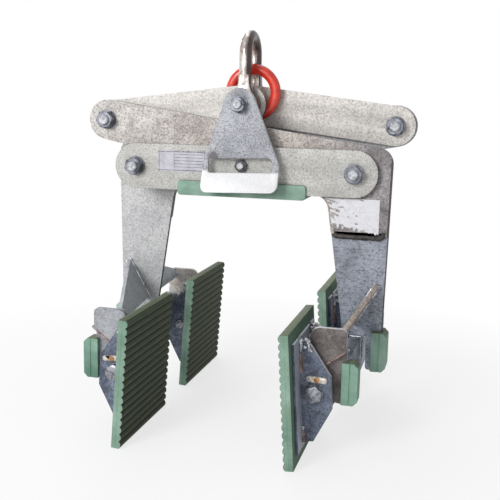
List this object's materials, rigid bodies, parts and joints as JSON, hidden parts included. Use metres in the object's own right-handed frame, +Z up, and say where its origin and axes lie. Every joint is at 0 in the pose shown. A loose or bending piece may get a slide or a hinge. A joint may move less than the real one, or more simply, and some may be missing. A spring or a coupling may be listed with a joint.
{
  "type": "scissor clamp",
  "caption": "Scissor clamp for lifting stone: crossing cranked arms with tilting ribbed rubber jaw pads, upper links, lifting shackle, ring, latch plate and rubber saddle.",
  "frame": {"origin": "the seat of the crane hook, at the inner top of the shackle's bow", "axes": "+X across the jaws, +Y to the rear along the jaws, +Z up"},
  "size_m": [0.756, 0.686, 0.886],
  "materials": {
    "galvanised": "hot-dip galvanised, spangled and scuffed",
    "dull_steel": "dull galvanised, stained",
    "fasteners": "zinc plated",
    "worn_steel": "forged, worn",
    "red_paint": "red gloss paint, chipped",
    "green_rubber": "matt green rubber"
  },
  "bodies": {
    "frame": {"crossbeam_front": "galvanised", "crossbeam_rear": "galvanised", "saddle_rubber": "green_rubber", "catch_stud": "fasteners", "pivot_bolt_lower_left": "fasteners", "pivot_nut_lower_left": "fasteners", "sleeve_left": "dull_steel", "pivot_bolt_lower_right": "fasteners", "pivot_nut_lower_right": "fasteners", "sleeve_right": "dull_steel"},
    "right_arm": {"crank_right": "galvanised", "carrier_right": "galvanised", "leg_block_right": "green_rubber", "end_plate_front_right": "dull_steel", "end_plate_rear_right": "dull_steel", "gusset_front_right": "galvanised", "gusset_rear_right": "galvanised", "ear_block_front_right": "green_rubber", "ear_block_rear_right": "green_rubber", "pivot_bolt_upper_left": "fasteners", "pivot_nut_upper_left": "fasteners"},
    "left_arm": {"crank_left": "galvanised", "carrier_left": "galvanised", "leg_block_left": "green_rubber", "end_plate_front_left": "dull_steel", "end_plate_rear_left": "dull_steel", "gusset_front_left": "galvanised", "gusset_rear_left": "galvanised", "ear_block_front_left": "green_rubber", "ear_block_rear_left": "green_rubber", "pivot_bolt_upper_right": "fasteners", "pivot_nut_upper_right": "fasteners"},
    "left_link": {"upper_link_left": "galvanised"},
    "right_link": {"upper_link_right": "galvanised"},
    "head": {"top_pin": "fasteners", "top_nut": "fasteners", "top_spacer": "dull_steel", "link_washer_front": "dull_steel", "link_washer_rear": "dull_steel"},
    "shackle": {"shackle": "worn_steel"},
    "ring": {"ring": "red_paint"},
    "latch": {"latch_plate": "galvanised"},
    "jaw_front_right": {"pad_rubber_front_right": "green_rubber", "pad_back_front_right": "dull_steel", "pad_pin_front_right": "fasteners", "pin_keeper_front_right": "fasteners"},
    "jaw_rear_right": {"pad_rubber_rear_right": "green_rubber", "pad_back_rear_right": "dull_steel", "pad_pin_rear_right": "fasteners", "pin_keeper_rear_right": "fasteners"},
    "jaw_front_left": {"pad_rubber_front_left": "green_rubber", "pad_back_front_left": "dull_steel", "pad_pin_front_left": "fasteners", "pin_keeper_front_left": "fasteners"},
    "jaw_rear_left": {"pad_rubber_rear_left": "green_rubber", "pad_back_rear_left": "dull_steel", "pad_pin_rear_left": "fasteners", "pin_keeper_rear_left": "fasteners"}
  },
  "joints": [
    {"name": "right_arm_close", "type": "hinge", "parent": "frame", "child": "right_arm", "pos_m": [0.255, 0, -0.285], "axis": [0, 1, 0], "range_deg": [0, 12]},
    {"name": "left_arm_close", "type": "hinge", "parent": "frame", "child": "left_arm", "pos_m": [-0.255, 0, -0.285], "axis": [0, 1, 0], "range_deg": [-12, 0]},
    {"name": "left_link_turn", "type": "hinge", "parent": "right_arm", "child": "left_link", "pos_m": [-0.332, 0, -0.181], "axis": [0, 1, 0], "range_deg": [-33, 0]},
    {"name": "right_link_turn", "type": "hinge", "parent": "left_arm", "child": "right_link", "pos_m": [0.332, 0, -0.181], "axis": [0, 1, 0], "range_deg": [0, 33]},
    {"name": "top_pin_rise", "type": "slide", "parent": "frame", "child": "head", "axis": [0, 0, 1], "range_m": [0, 0.236]},
    {"name": "shackle_swing", "type": "hinge", "parent": "head", "child": "shackle", "pos_m": [0, 0, -0.14], "axis": [0, 1, 0], "range_deg": [-70, 70]},
    {"name": "ring_swing", "type": "hinge", "parent": "head", "child": "ring", "pos_m": [0, 0, -0.14], "axis": [0, 1, 0], "range_deg": [-74, 45]},
    {"name": "latch_swing", "type": "hinge", "parent": "head", "child": "latch", "pos_m": [0, -0.084, -0.14], "axis": [0, 1, 0], "range_deg": [-18, 21]},
    {"name": "jaw_tilt_front_right", "type": "hinge", "parent": "right_arm", "child": "jaw_front_right", "pos_m": [0.22, -0.2095, -0.717], "axis": [0, 1, 0], "range_deg": [0, 6]},
    {"name": "jaw_tilt_rear_right", "type": "hinge", "parent": "right_arm", "child": "jaw_rear_right", "pos_m": [0.22, 0.2095, -0.717], "axis": [0, 1, 0], "range_deg": [0, 6]},
    {"name": "jaw_tilt_front_left", "type": "hinge", "parent": "left_arm", "child": "jaw_front_left", "pos_m": [-0.22, -0.2095, -0.717], "axis": [0, 1, 0], "range_deg": [-6, 0]},
    {"name": "jaw_tilt_rear_left", "type": "hinge", "parent": "left_arm", "child": "jaw_rear_left", "pos_m": [-0.22, 0.2095, -0.717], "axis": [0, 1, 0], "range_deg": [-6, 0]}
  ],
  "couplings": [
    {"joint": "left_arm_close", "follows": "right_arm_close", "ratio": -1},
    {"joint": "left_link_turn", "follows": "right_arm_close", "ratio": -2.7066},
    {"joint": "right_link_turn", "follows": "right_arm_close", "ratio": 2.7066},
    {"joint": "top_pin_rise", "follows": "right_arm_close", "m_per_rad": 1.1236}
  ]
}
